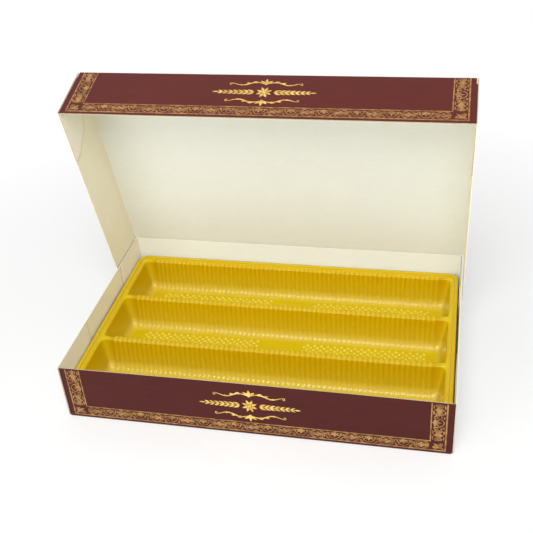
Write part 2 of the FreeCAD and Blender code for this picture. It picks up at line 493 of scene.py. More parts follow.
def wallProfile(height, roundTop):
    # Points u, outwards from the outer face, and v, up from the panel, each with the
    # paper that follows it: 0 outside, 1 inside, 2 raw edge
    quarter = [90 * t for t in shares(wallLook["arcSteps"])]
    rise, half = height - fold, board / 2
    points = [(*around(-fold, fold, fold, a - 90), 0) for a in quarter]
    points += [(0.0, fold + rise * row, 0) for row in wallLook["rows"]]
    if roundTop:
        points += [(*around(-half, height, half, 2 * a), 0) for a in quarter[1:-1]]
    points[-1] = points[-1][:2] + (2,)
    points += [(-board, fold + rise * row, 1) for row in reversed(wallLook["rows"])]
    points += [(*around(-fold, fold, fold - board, a - 90), 1) for a in reversed(quarter)]
    points[-1] = points[-1][:2] + (2,)
    return points


def wallPoint(wall, s, v, u=0.0):
    # A point of a wall: s along it, v up from its panel, u outwards
    bulge = (v / wall["height"]) ** wallLook["bowCurve"] * (1 - (s / wall["half"]) ** 2)
    out = u - wall["bow"] * bulge
    return wall["turn"] @ (wall["corner"] + wall["along"] * s + wall["out"] * out
                           + wall["rise"] * v)


def foldedWall(name, node, wall, outside, inside):
    look = wallLook
    half = wall["half"]
    profile = wallProfile(wall["height"], wall["roundTop"])
    count = len(profile)
    near, nearest = [1 - gap / half for gap in look["endStations"]]
    places = [2 * t - 1 for t in shares(look["stations"])]
    places = ([-1.0, -nearest, -near] + [t for t in places if abs(t) < near]
              + [near, nearest, 1.0])
    last = (len(places) - 1) * count
    verts, rubs, faces, picks = [], [], [], []
    for t in places:
        corner = max(0.0, 1 - (1 - abs(t)) * half / look["cornerWear"])
        for u, v, _ in profile:
            verts.append(wallPoint(wall, t * half, v, u))
            crease = max(0.0, 1 - max(0.0, v - fold) / look["creaseWear"])
            rubs.append(max(crease, look["cornerShare"] * corner) * wall["rub"])
    for start in range(0, last, count):
        for i in range(count):
            after = (i + 1) % count
            faces.append([start + i, start + count + i, start + count + after, start + after])
            picks.append(profile[i][2])
    faces += [list(range(count)), list(range(last, last + count))]
    picks += [2, 2]
    piece = meshPiece(name, verts, faces, [outside, inside, rawEdge], picks)
    bm = bmesh.new()
    bm.from_mesh(piece.data)
    bmesh.ops.recalc_face_normals(bm, faces=bm.faces)
    bm.to_mesh(piece.data)
    bm.free()
    wearAndShade(piece, rubs)
    settle(piece, bodyOf(node), "printed_board", node)


def makeWall(body, corner, along, out, rise, half, height, bow=0.0, roundTop=False):
    return {"turn": turns[body], "corner": Vector(corner), "along": Vector(along),
            "out": Vector(out), "rise": Vector(rise), "half": half, "height": height,
            "bow": bow, "rub": wallLook[body + "Rub"], "roundTop": roundTop}


baseFront = makeWall("base", (0, frontLow.y, 0), right, front, up, frontHigh.x, frontHigh.z,
                     bow=wallLook["baseBow"])
baseBack = makeWall("base", (0, backHigh.y, 0), left, rear, up, backHigh.x, hinge.z,
                    roundTop=True)
lidFront = makeWall("lid", (0, lidFrontLow.y, lidTopHigh.z), right, front, down,
                    lidFrontHigh.x, lidTopHigh.z - lidFrontLow.z)
foldedWall("baseFrontWall", "base_front_wall", baseFront, shadedMaroon, panelBoard)
foldedWall("baseBackWall", "base_back_wall", baseBack, shadedMaroon, panelBoard)
foldedWall("lidFrontWall", "lid_front_wall", lidFront, maroonPrint, creamBoard)
print("front and back walls folded")


# Print: flat figures drawn as ribbons and shapes, a hair above the paper
printLook = {
    "lift": 0.02 * mm,
    "layer": 0.001 * mm,   # each figure lies this much above the one before
    "thinnest": 0.06 * mm,
    "leafSteps": 6,
    "leafBelly": 0.8,      # below 1, a leaf is widest below its middle
    "scrollSteps": 10,
    "scrollTail": 0.5,     # share of its width that a scroll loses
    "scrollKnob": 0.6,     # radius of its end, in widths
}


def newSheet():
    return {"verts": [], "faces": [], "inks": [], "z": 0.0}


def lay(sheet, points, faces, ink):
    # One figure, on the sheet's next layer
    first = len(sheet["verts"])
    sheet["verts"] += [(x, y, sheet["z"]) for x, y in points]
    sheet["faces"] += [[first + i for i in face] for face in faces]
    sheet["inks"] += [ink] * len(faces)
    sheet["z"] += printLook["layer"]


def ribbon(sheet, points, widths, ink=None):
    last = len(points) - 1
    sides = []
    for i, (x, y) in enumerate(points):
        ax, ay = points[max(i - 1, 0)]
        bx, by = points[min(i + 1, last)]
        size = math.hypot(bx - ax, by - ay)
        half = max(widths[i], printLook["thinnest"]) / 2
        nx, ny = -(by - ay) / size * half, (bx - ax) / size * half
        sides += [(x - nx, y - ny), (x + nx, y + ny)]
    lay(sheet, sides, [[k, k + 2, k + 3, k + 1] for k in range(0, 2 * last, 2)], ink)


def shape(sheet, points, ink=None):
    # Filled outline, points anticlockwise
    lay(sheet, points, [range(len(points))], ink)


def disc(sheet, x, y, radius, ink=None, sides=12):
    shape(sheet, [around(x, y, radius, 360 * k / sides) for k in range(sides)], ink)


def straight(sheet, start, end, width, ink=None):
    ribbon(sheet, [start, end], [width, width], ink)


def leaf(sheet, x, y, angle, length, width, bend=0.0, ink=None):
    # Leaf from its stalk, angle and bend in degrees
    steps = printLook["leafSteps"]
    points, widths = [(x, y)], [0.0]
    for t in shares(steps)[1:]:
        points.append(around(*points[-1], length / steps, angle + bend * t))
        widths.append(width * math.sin(math.pi * t ** printLook["leafBelly"]))
    ribbon(sheet, points, widths, ink)


def scroll(sheet, x, y, start, end, firstRadius, lastRadius, width, ink=None):
    # Spiral about (x, y) from one angle and radius to another, thinning to its tail
    points, widths = [], []
    for t in shares(printLook["scrollSteps"]):
        points.append(around(x, y, between(firstRadius, lastRadius, t), between(start, end, t)))
        widths.append(width * (1 - printLook["scrollTail"] * t))
    ribbon(sheet, points, widths, ink)
    disc(sheet, *points[-1], width * printLook["scrollKnob"], ink, sides=8)


def flower(sheet, x, y, radius, petals, turn, plump, petalInk=None, heartInk=None):
    level = sheet["z"]
    for k in range(petals):
        angle = turn + 360 * k / petals
        sheet["z"] = level
        leaf(sheet, *around(x, y, 0.22 * radius, angle), angle, 0.8 * radius, plump * radius,
             0, petalInk)
    disc(sheet, x, y, 0.24 * radius, heartInk)


# Border figures, each drawn in a cell of its own, w wide and h high
borderLook = {
    "cell": 12.5 * mm,      # along the band
    "frontSideMargin": 5.2 * mm,
    "frontFootMargin": 3.0 * mm,
    "frontSideBand": 11.0 * mm,
    "frontFootBand": 9.0 * mm,
    "topMargin": 6.0 * mm,
    "topBand": 11.0 * mm,
    "outerLine": 1.1 * mm,
    "innerLine": 0.9 * mm,
}
figureLook = {
    "height": 10.0 * mm,
    "width": 12.5 * mm,
    "line": 0.1,            # width of a scroll, in cell heights
    # Strokes to the right of the middle: x in cell widths, lengths in cell heights.
    # A leaf has x, y, angle, length, width, bend; a scroll x, y, two angles, two radii
    "palmette": (
        ("leaf", 0.0, -0.42, 64, 0.58, 0.19, -20),
        ("leaf", 0.0, -0.42, 36, 0.46, 0.17, -40),
        ("scroll", 0.42, -0.20, -120, 230, 0.19, 0.06),
        ("leaf", 0.30, 0.42, -10, 0.275, 0.16, 30),
        ("leaf", 0.40, 0.30, -60, 0.26, 0.12, 40),
    ),
    "rosette": (
        ("scroll", 0.31, 0.22, -150, 200, 0.17, 0.05),
        ("leaf", 0.06, 0.45, 6, 0.425, 0.13, -14),
    ),
}


def strokes(sheet, figure, w, h, sideX, sideY=1):
    # A figure's strokes, mirrored to one side of its cell
    def aim(angle):
        return sideY * (90 - sideX * (90 - angle))

    for kind, x, y, a, b, c, d in figureLook[figure]:
        x, y = sideX * x * w, sideY * y * h
        if kind == "leaf":
            leaf(sheet, x, y, aim(a), b * h, c * h, sideX * sideY * d)
        else:
            scroll(sheet, x, y, aim(a), aim(b), c * h, d * h, figureLook["line"] * h)


def palmetteCell(w, h):
    # Fan of leaves under an arch, between two scrolls
    sheet = newSheet()
    foot = -0.42 * h
    arch = [(0.36 * w * math.cos(math.pi * t), foot + 0.84 * h * math.sin(math.pi * t) ** 0.8)
            for t in shares(12)]
    ribbon(sheet, arch, [0.07 * h] * len(arch))
    leaf(sheet, 0, foot, 90, 0.66 * h, 0.24 * h)
    for side in (1, -1):
        strokes(sheet, "palmette", w, h, side)
    disc(sheet, 0, foot + 0.02 * h, 0.12 * h)
    return sheet


def rosetteCell(w, h):
    # Rosette held by four scrolls, with leaves along both edges
    sheet = newSheet()
    for k in range(4):
        for angle, length, width in ((90 * k, 0.34, 0.21), (90 * k + 45, 0.25, 0.14)):
            leaf(sheet, *around(0, 0, 0.08 * h, angle), angle, length * h, width * h)
    disc(sheet, 0, 0, 0.1 * h)
    for side in (1, -1):
        for top in (1, -1):
            strokes(sheet, "rosette", w, h, side, top)
        leaf(sheet, side * 0.34 * w, 0, 90 - side * 90, 0.15 * w, 0.13 * h)
    return sheet


def cornerCell(h):
    # Leaf set across a square corner, with a scroll and leaves along each side
    sheet = newSheet()
    foot = -0.40 * h
    leaf(sheet, foot, foot, 45, 1.05 * h, 0.34 * h)
    for side in (1, -1):
        leaf(sheet, -0.34 * h, -0.34 * h, 45 - side * 26, 0.7 * h, 0.2 * h, -side * 18)
        scroll(sheet, side * 0.24 * h, -side * 0.24 * h, 45 - side * 200, 45 + side * 60,
               0.2 * h, 0.06 * h, figureLook["line"] * h)
        leaf(sheet, side * 0.40 * h, -side * 0.42 * h, 45 + side * 60, 0.5 * h, 0.15 * h,
             side * 20)
    disc(sheet, foot, foot, 0.11 * h)
    return sheet


def cellObject(name, sheet):
    return meshPiece(name, sheet["verts"], sheet["faces"], [])


def endTree(tree, instances, material):
    # Makes the copies real, in one material
    real = put(tree, "GeometryNodeRealizeInstances", {"Geometry": instances})
    done = put(tree, "GeometryNodeSetMaterial", {
        "Geometry": real.outputs["Geometry"], "Material": material})
    put(tree, "NodeGroupOutput", {"Geometry": done.outputs["Geometry"]})
    return tree


def borderRunTree():
    # Lays two figures by turns along a line
    tree, given = newTree("GeometryNodeTree", "borderRun", {
        "Start": "Vector", "End": "Vector", "Count": "Int", "Turn": "Vector", "Size": "Vector",
        "First Figure": "Object", "Second Figure": "Object", "Ink": "Material"},
        {"Geometry": "Geometry"})
    line = put(tree, "GeometryNodeMeshLine", {
        "Count": given["Count"], "Start Location": given["Start"], "Offset": given["End"]},
        mode="END_POINTS")
    odd = maths(tree, "MODULO", put(tree, "GeometryNodeInputIndex").outputs["Index"], 2.0)
    even = maths(tree, "SUBTRACT", 1.0, odd)
    joined = tree.nodes.new("GeometryNodeJoinGeometry")
    for label, chosen in (("First Figure", even), ("Second Figure", odd)):
        figure = put(tree, "GeometryNodeObjectInfo", {"Object": given[label]})
        laid = put(tree, "GeometryNodeInstanceOnPoints", {
            "Points": line.outputs["Mesh"], "Selection": chosen,
            "Instance": figure.outputs["Geometry"],
            "Rotation": given["Turn"], "Scale": given["Size"]})
        tree.links.new(laid.outputs["Instances"], joined.inputs["Geometry"])
    return endTree(tree, joined.outputs["Geometry"], given["Ink"])


def addNodes(sheet, tree, values):
    # Runs a tree and adds its plain mesh to the sheet
    carrier = addObject("carrier", bpy.data.meshes.new("carrier"))
    modifier = carrier.modifiers.new("make", "NODES")
    modifier.node_group = tree
    for item in tree.interface.items_tree:
        if item.in_out == "INPUT":
            modifier[item.identifier] = values[item.name]
    graph = bpy.context.evaluated_depsgraph_get()
    mesh = bpy.data.meshes.new_from_object(carrier.evaluated_get(graph))
    carrier.modifiers.clear()
    bpy.data.objects.remove(carrier)
    first = len(sheet["verts"])
    sheet["verts"] += [tuple(v.co) for v in mesh.vertices]
    sheet["faces"] += [[first + i for i in polygon.vertices] for polygon in mesh.polygons]
    sheet["inks"] += [None] * len(mesh.polygons)
    bpy.data.meshes.remove(mesh)


borderRun = borderRunTree()
cellSize = (figureLook["width"], figureLook["height"])
palmette = cellObject("palmette", palmetteCell(*cellSize))
rosette = cellObject("rosette", rosetteCell(*cellSize))
cornerLeaf = cellObject("cornerLeaf", cornerCell(figureLook["height"]))


def addFigures(sheet, start, end, count, angle, size, first, second):
    addNodes(sheet, borderRun, {
        "Start": start, "End": end, "Count": count, "Turn": (0, 0, angle), "Size": (*size, 1.0),
        "First Figure": first, "Second Figure": second, "Ink": goldPrint})


def borderSide(sheet, start, end, band):
    # Figures from start to end on the middle of the band, heads to the left
    start, end = Vector((*start, 0)), Vector((*end, 0))
    run = end - start
    count = max(1, round(run.length / borderLook["cell"]))
    count += 1 - count % 2  # odd, so that both ends match
    step = run / count
    addFigures(sheet, start + step / 2, end - step / 2, count, math.atan2(run.y, run.x),
               (step.length / figureLook["width"], band / figureLook["height"]),
               rosette, palmette)


def borderCorner(sheet, x, y, angle, width, height):
    # angle turns the corner leaf's foot, which points to lower left
    size = (width / figureLook["height"], height / figureLook["height"])
    addFigures(sheet, (x, y, 0), (x, y, 0), 1, math.radians(angle), size, cornerLeaf, cornerLeaf)


def frontBorder(half, height):
    # Band down both ends and along the foot of a front wall, open at the top
    sheet = newSheet()
    look = borderLook
    outer = half - look["frontSideMargin"]
    inner = outer - look["frontSideBand"]
    foot = look["frontFootMargin"]
    sill = foot + look["frontFootBand"]
    for reach, low, width in ((outer, foot, look["outerLine"]), (inner, sill, look["innerLine"])):
        for side in (1, -1):
            straight(sheet, (side * reach, low - width / 2), (side * reach, height), width)
        straight(sheet, (-reach, low), (reach, low), width)
    middle, level = (outer + inner) / 2, (foot + sill) / 2
    sideBand = look["frontSideBand"] - 2 * look["outerLine"]
    footBand = look["frontFootBand"] - 2 * look["outerLine"]
    borderSide(sheet, (inner, level), (-inner, level), footBand)
    borderSide(sheet, (-middle, sill), (-middle, height), sideBand)
    borderSide(sheet, (middle, height), (middle, sill), sideBand)
    borderCorner(sheet, -middle, level, 0, sideBand, footBand)
    borderCorner(sheet, middle, level, 90, footBand, sideBand)
    return sheet


# Ornament in the middle of a wall or panel; sizes in shares of its reach

def laurel(sheet, x, y, reach, side, pairs=7):
    # Straight branch with pairs of slim leaves that grow smaller to its tip
    start, end = 0.19 * reach, 0.88 * reach
    straight(sheet, (x + side * start, y), (x + side * end, y), 0.014 * reach)
    for k in range(pairs):
        t = k / pairs
        size = between(0.145, 0.095, t) * reach
        for rise in (1, -1):
            leaf(sheet, x + side * between(start, end, t), y, 90 - side * (90 - rise * 44),
                 size, 0.33 * size, -side * rise * 30)
    leaf(sheet, x + side * 0.86 * reach, y, 90 - side * 90, 0.12 * reach, 0.035 * reach)


def flourish(sheet, x, y, reach, rise):
    # Thin line of curls, closed by a small palmette in the middle
    heart = y - rise * 0.02 * reach
    for side in (1, -1):
        points, widths = [], []
        for t in shares(18):
            wave = 0.035 * math.sin(2.4 * math.pi * t) - 0.03 * t
            points.append((x + side * reach * (0.06 + 0.6 * t), y + rise * reach * wave))
            widths.append(reach * (0.01 + 0.02 * math.sin(math.pi * t ** 0.7)))
        ribbon(sheet, points, widths)
        for k, size in ((3, 0.1 * reach), (7, 0.085 * reach), (11, 0.07 * reach)):
            leaf(sheet, *points[k], 90 - side * (90 - rise * 30), size, 0.38 * size,
                 -side * rise * 40)
            leaf(sheet, *points[k], 90 - side * (90 + rise * 24), 0.8 * size, 0.3 * size,
                 side * rise * 30)
        tipX, tipY = points[-1]
        scroll(sheet, tipX, tipY - rise * 0.03 * reach, rise * 90, rise * (90 - side * 290),
               0.03 * reach, 0.012 * reach, 0.016 * reach)
    for lean in (-50, 0, 50):
        leaf(sheet, x, heart, rise * (90 - lean), 0.15 * reach, 0.06 * reach)
    disc(sheet, x, heart, 0.025 * reach)


def centrePiece(sheet, x, y, reach):
    # Rosette between two branches, with a flourish above and below
    for side in (1, -1):
        laurel(sheet, x, y, reach, side)
        flourish(sheet, x, y + side * 0.26 * reach, reach, side)
    flower(sheet, x, y, 0.15 * reach, 8, 22.5, 0.36)


def printPiece(name, sheet, place, body, material):
    verts = [place(x, y, z + printLook["lift"]) for x, y, z in sheet["verts"]]
    piece = meshPiece(name, verts, sheet["faces"], [material])
    if any(sheet["inks"]):
        layer = piece.data.color_attributes.new("ink", "FLOAT_COLOR", "CORNER")
        for polygon, ink in zip(piece.data.polygons, sheet["inks"]):
            for k in polygon.loop_indices:
                layer.data[k].color = ink
    settle(piece, body, "printed_board")


def onBaseFront(x, y, lift):
    return wallPoint(baseFront, x, y, lift)


def onLidFront(x, y, lift):
    return wallPoint(lidFront, x, lidFront["height"] - y, lift)


def onLidTop(x, y, lift):
    middle = (lidFrontLow.y + lidTopHigh.y) / 2
    return openTurn @ Vector((x, middle + y, lidTopHigh.z + lift))


frontLook = {"centreReach": 40.0 * mm, "centreRise": 29.0 * mm}
for name, wall, place, body in (("baseFrontPrint", baseFront, onBaseFront, "base"),
                                ("lidFrontPrint", lidFront, onLidFront, "lid")):
    border = frontBorder(wall["half"] + fold, wall["height"] - fold)
    printPiece(name + "Border", border, place, body, goldPrint)
    centre = newSheet()
    centrePiece(centre, 0, frontLook["centreRise"], frontLook["centreReach"])
    printPiece(name + "Centre", centre, place, body, brightGold)
print("front walls printed")


# Lid top: a border round three panels, the middle one with a lobed medallion
artLook = {
    "red": srgb(214, 66, 56),
    "green": srgb(30, 92, 50),
    "blue": srgb(54, 62, 124),
    "amber": srgb(236, 138, 40),
    "yellow": srgb(248, 208, 66),
    "paleYellow": srgb(252, 230, 130),
    "coral": srgb(228, 88, 56),
    "brick": srgb(168, 50, 40),
    "darkLeaf": srgb(22, 62, 40),
    "paleLeaf": srgb(140, 168, 70),
    "fieldGap": 4.0 * mm,
    "sidePanel": 50.0 * mm,
    "panelGap": 5.0 * mm,
    "medallion": (69.0 * mm, 55.0 * mm),
    "lobes": 14,
    "lobeDepth": 0.09,
    "lobeSteps": 10,
    "outline": 0.9 * mm,
    "rings": ((1.0, 1.0), (0.92, 0.45)),   # scale of the medallion, width of its outline
    "goldLayer": 10,                       # layers under the golden outlines
    "centreReach": 52.0 * mm,
}
# Flowers: inks of the edge, the petals, the inner petals and the heart
bloomInks = {
    "warm": ("brick", "amber", "yellow", "coral"),
    "pale": ("amber", "yellow", "paleYellow", "coral"),
    "spray": ("amber", "yellow", "paleYellow", "blue"),
}
bouquetLook = {
    "stem": 1.0 * mm,
    "endGap": 10.0 * mm,
    "lean": 52,
    "bend": 26,
    # All in millimetres: leaves by height and length, side flowers by reach, height
    # and radius, flowers on the stem by height, radius and turn
    "leaves": ((8, 19, "darkLeaf"), (19, 15, "paleLeaf"), (36, 15, "darkLeaf"),
               (47, 12, "paleLeaf"), (60, 9, "darkLeaf")),
    "sideBlooms": ((16.5, 17, 4.6, "warm"), (17, 40, 4.0, "pale"), (9, 57, 3.2, "warm")),
    "stemBlooms": ((30, 9.5, 11, "pale"), (53, 6.5, 0, "warm")),
    "midBlooms": ((0, 14.0, 0, "warm"), (0, 6.0, 11, "pale")),
    "tip": (58, 9, 3.4),                   # leaf at the end: height, length, width
}
sprayLook = {
    "inset": 13.0 * mm,
    "leaves": (16.0 * mm, 20.0 * mm),      # by turns
    "fan": 32,                             # degrees from leaf to leaf
    "budReach": 17.0 * mm,
    "budRadius": 3.6 * mm,
    "radius": 9.0 * mm,
}


def lobedOutline():
    # Ellipse whose edge is a ring of outward lobes
    look = artLook
    reachX, reachY = look["medallion"]
    total = look["lobes"] * look["lobeSteps"]
    points = []
    for k in range(total):
        angle = 2 * math.pi * k / total
        swell = 1 - look["lobeDepth"] * (1 - abs(math.sin(look["lobes"] * angle / 2)))
        points.append((reachX * swell * math.cos(angle), reachY * swell * math.sin(angle)))
    return points


def frameLines(sheet, lowX, lowY, highX, highY, width):
    for y in (lowY, highY):
        straight(sheet, (lowX - width / 2, y), (highX + width / 2, y), width)
    for x in (lowX, highX):
        straight(sheet, (x, lowY), (x, highY), width)


def panelShape(sheet, lowX, lowY, highX, highY, ink):
    shape(sheet, [(lowX, lowY), (highX, lowY), (highX, highY), (lowX, highY)], artLook[ink])


def bloom(sheet, x, y, radius, turn, kind):
    # Flower of three rings of eight petals
    *rings, heart = [artLook[ink] for ink in bloomInks[kind]]
    for ink, scale, shift, plump in zip(rings, (1.0, 0.9, 0.6), (0, 0, 22.5), (0.56, 0.44, 0.4)):
        flower(sheet, x, y, scale * radius, 8, turn + shift, plump, ink, heart)


def veinedLeaf(sheet, x, y, angle, length, bend, ink):
    leaf(sheet, x, y, angle, length, 0.36 * length, bend, artLook[ink])
    leaf(sheet, x, y, angle, 0.9 * length, 0.05 * length, bend, artLook["yellow"])


def tallBouquet(sheet, x, halfHeight):
    # Upright row of flowers on one stem, the same above and below its middle
    look = bouquetLook
    level = sheet["z"]
    straight(sheet, (x, -halfHeight), (x, halfHeight), look["stem"], artLook["paleLeaf"])
    for end in (1, -1):
        for side in (1, -1):
            for rise, length, ink in look["leaves"]:
                sheet["z"] = level + printLook["layer"]
                veinedLeaf(sheet, x, end * rise * mm, end * (90 - side * look["lean"]),
                           length * mm, -side * end * look["bend"], ink)
            for out, rise, radius, kind in look["sideBlooms"]:
                scroll(sheet, x + side * 0.62 * out * mm, end * rise * mm, 90 - side * 90,
                       90 + end * side * 150, 0.38 * out * mm, 0.2 * out * mm, 0.6 * mm,
                       artLook["yellow"])
                bloom(sheet, x + side * out * mm, end * (rise + 1) * mm, radius * mm,
                      10 * rise, kind)
        for rise, radius, turn, kind in look["stemBlooms"]:
            bloom(sheet, x, end * rise * mm, radius * mm, turn, kind)
        rise, length, width = look["tip"]
        leaf(sheet, x, end * rise * mm, 90 * end, length * mm, width * mm, 0, artLook["yellow"])
    for rise, radius, turn, kind in look["midBlooms"]:
        bloom(sheet, x, rise * mm, radius * mm, turn, kind)


def cornerSpray(sheet, side, end, cornerX, cornerY):
    # Flower in a panel's corner with leaves and buds towards its middle
    look = sprayLook
    level = sheet["z"]
    x, y = side * (cornerX - look["inset"]), end * (cornerY - look["inset"])
    lean = math.degrees(math.atan2(-end, -side))
    for k in range(5):
        sheet["z"] = level
        turn = lean + look["fan"] * (k - 2)
        veinedLeaf(sheet, x, y, turn, look["leaves"][k % 2], 12 - 6 * k,
                   ("darkLeaf", "paleLeaf")[k % 2])
        if k % 2 == 0:
            bloom(sheet, *around(x, y, look["budReach"], turn), look["budRadius"], 20 * k, "spray")
    bloom(sheet, x, y, look["radius"], 0, "spray")


def topBorder(sheet, outer, inner):
    # Band of figures between two lines, right round the lid
    look = borderLook
    frameLines(sheet, -outer[0], -outer[1], *outer, look["outerLine"])
    frameLines(sheet, -inner[0], -inner[1], *inner, look["innerLine"])
    slim = look["topBand"] - 2 * look["outerLine"]
    for side in (1, -1):
        x, y = side * (outer[0] + inner[0]) / 2, side * (outer[1] + inner[1]) / 2
        borderSide(sheet, (side * inner[0], -y), (-side * inner[0], -y), slim)
        borderSide(sheet, (x, side * inner[1]), (x, -side * inner[1]), slim)
        borderCorner(sheet, -x, -y, 90 - side * 90, slim, slim)
        borderCorner(sheet, x, -y, 180 - side * 90, slim, slim)


def lidTopPrint():
    look = artLook
    margin, band = borderLook["topMargin"], borderLook["topBand"]
    outer = (lidSideHigh.x - margin, (lidTopHigh.y - lidFrontLow.y) / 2 - margin)
    inner = (outer[0] - band, outer[1] - band)
    field = (inner[0] - look["fieldGap"], inner[1] - look["fieldGap"])
    sideIn = field[0] - look["sidePanel"]
    middleOut = sideIn - look["panelGap"]
    lobes = lobedOutline()
    gold, bright, art = newSheet(), newSheet(), newSheet()
    topBorder(gold, outer, inner)
    panelShape(art, -middleOut, -field[1], middleOut, field[1], "red")
    shape(art, lobes, look["blue"])
    gold["z"] = look["goldLayer"] * printLook["layer"]
    frameLines(gold, -middleOut, -field[1], middleOut, field[1], look["outline"])
    ground = art["z"]
    for side in (1, -1):
        low, high = sorted((side * sideIn, side * field[0]))
        art["z"] = 0.0
        panelShape(art, low, -field[1], high, field[1], "green")
        frameLines(gold, low, -field[1], high, field[1], look["outline"])
        tallBouquet(art, side * (sideIn + field[0]) / 2, field[1] - bouquetLook["endGap"])
        for end in (1, -1):
            art["z"] = ground
            cornerSpray(art, side, end, middleOut, field[1])
    for scale, width in look["rings"]:
        ring = [(scale * x, scale * y) for x, y in lobes]
        ribbon(gold, ring + ring[:2], [width * look["outline"]] * (len(ring) + 2))
    bright["z"] = gold["z"]
    centrePiece(bright, 0, 0, look["centreReach"])
    printPiece("lidTopBorder", gold, onLidTop, "lid", goldPrint)
    printPiece("lidTopCentre", bright, onLidTop, "lid", brightGold)
    printPiece("lidTopArt", art, onLidTop, "lid", colourPrint)


lidTopPrint()
for cell in (palmette, rosette, cornerLeaf):
    bpy.data.objects.remove(cell)
print("lid top printed")


# Tray: one formed sheet, with fluted long walls and pimpled floors
trayLook = {
    "compartments": 3,
    "sheet": 0.35 * mm,
    "rim": 7.0 * mm,
    "rimCorner": 9.0 * mm,
    "ridge": 5.0 * mm,
    "corner": 3.2 * mm,
    "footCorner": 2.0 * mm,
    "cornerShrink": 0.4,      # of how far the end wall leans in
    "mouthRound": 2.1 * mm,
    "notch": 0.9 * mm,        # how far the flutes cut into the ridge tops
    "step": 0.9 * mm,         # inner part of the rim below its outer part
    "stepAt": 2.4 * mm,
    "longDraft": 2.5 * mm,
    "endDraft": 3.5 * mm,
    "floorRound": 8.5 * mm,   # along the long walls
    "endRound": 5.0 * mm,
    "floorRise": 0.55 * mm,   # floor top above the underside
    "flutes": 63,
    "fluteDepth": 1.2 * mm,
    "mouthFlute": 0.5,        # share of that depth at the mouth
    "fluteFade": 1.3,         # how soon a flute dies out in the foot
    "fluteSpan": 132.0 * mm,  # half of the fluted length
    "fluteEnd": 1.0 * mm,     # plain wall left before a corner, at least
    "flatEdge": 0.5 * mm,     # flat strip between the flutes and the rim's step
    "lip": 2.0 * mm,
    "fluteSteps": 4,
    "arcSteps": 8,
    "endSteps": 10,
    "mouthSteps": 6,
    "wallSteps": 4,
    "footSteps": 8,
    # Shades run from a flute's crest at 0 to the groove beside it at 1; the deeper grooves are
    # painted shade
    "plainShade": 0.35,       # wall without flutes
    "cornerHighlight": -0.6,      # corner, paler and milkier: a painted highlight, where the sheet is also stretched most
    "crestColour": 0.55,      # depth of colour of a crest beside a groove
    "notchHighlight": 0.4,       # how much less of it a crest has at the mouth: painted highlight dots on the ridges
    # Colour deepest at the top of a wall, less at the mouth and the strip by the rim, fading to the
    # floor: painted shade
    "edgeColour": 0.3,
    "mouthColour": 0.7,
    "footColour": 0.5,
    "wallMilk": 0.25,         # milkiness at the foot of a wall, a painted highlight
    "footHighlight": 0.1,
    "grooveHighlight": 0.5,        # how much less of it a groove has
}


def arc(x, y, radius, quarter):
    # Quarter circle about (x, y), from a number of quarter turns on
    return [around(x, y, radius, 90 * (quarter + t)) for t in shares(trayLook["arcSteps"])]


def grooveAt(k):
    # How deep the k-th point of a fluted side lies in a groove between two flutes
    return 1 - abs(math.sin(math.pi * k / trayLook["fluteSteps"]))


def trayRow(halfLength, halfWidth, corner, gain):
    # Half of a loop round a compartment: a fluted long side, a corner, an end and a
    # corner; each point with how deep it lies in a groove, and its shade: painted shade in the
    # grooves, painted highlight at the corners
    look = trayLook
    endX, endY = halfLength - corner, halfWidth - corner
    span = min(look["fluteSpan"], endX - look["fluteEnd"])
    steps = look["flutes"] * look["fluteSteps"]
    plain = (0.0, look["plainShade"])
    bend = (0.0, look["cornerHighlight"])
    points = [(-endX, -halfWidth, *plain)]
    for k in range(steps + 1):
        groove = grooveAt(k)
        points.append((span * (2 * k / steps - 1),
                       gain * look["fluteDepth"] * (1 - groove) - halfWidth, groove, groove))
    points += [(*p, *bend) for p in arc(endX, -endY, corner, -1)]
    points += [(halfLength, endY * (2 * t - 1), *plain) for t in shares(look["endSteps"])[1:-1]]
    points += [(*p, *bend) for p in arc(endX, endY, corner, 0)[:-1]]
    return points


def trayLevels(depth):
    # From the rim down: inset of the long and end walls, depth, how deep the flutes and
    # their notches are, how deep the colour is, a painted shade, and how milky the sheet, a painted
    # highlight
    look = trayLook
    mouth, foot = look["mouthRound"], look["floorRound"]
    longIn, endIn = look["longDraft"], look["endDraft"]
    levels = []
    for t in shares(look["mouthSteps"]):
        angle = math.pi / 2 * t
        out = mouth * (1 - math.sin(angle))
        levels.append((-out, -out, mouth * (1 - math.cos(angle)), between(look["mouthFlute"], 1, t),
                       math.cos(angle), between(look["mouthColour"], 1, t), 0.0))
    for t in shares(look["wallSteps"])[1:]:
        levels.append((longIn * t, endIn * t, between(mouth, depth - foot, t), 1.0, 0.0,
                       between(1, look["footColour"], t), look["wallMilk"] * t * t))
    for t in shares(look["footSteps"])[1:]:
        angle = math.pi / 2 * t
        run = 1 - math.cos(angle)
        milkHighlight = math.sin(math.pi * between(look["footHighlight"], 1, t))
        levels.append((longIn + foot * run, endIn + look["endRound"] * run,
                       depth - foot + foot * math.sin(angle),
                       max(0.0, 1 - look["fluteFade"] * t ** 2), 0.0,
                       look["footColour"] * (1 - t), max(0.0, milkHighlight)))
    return levels


def rimLevels():
    # From the step outwards: inset from the edge, depth and colour, deeper down the step and over
    # the lip: painted shade
    at, step = trayLook["stepAt"], trayLook["step"]
    return ((at + 1.3 * mm, step, 0.2), (at + 0.9 * mm, 0.92 * step, 0.8),
            (at + 0.5 * mm, 0.5 * step, 0.7), (at, 0.06 * step, 0.3), (at - 0.4 * mm, 0.0, 0.15),
            (0.4 * mm, 0.0, 0.15), (0.1 * mm, 0.12 * mm, 0.5), (0.0, 0.4 * mm, 0.8),
            (0.0, trayLook["lip"], 1.0))


def rimRow(halfLength, halfWidth, corner):
    points = []
    for quarter, (sx, sy) in enumerate(((1, -1), (1, 1), (-1, 1), (-1, -1))):
        points += arc(sx * (halfLength - corner), sy * (halfWidth - corner), corner, quarter - 1)
    return points


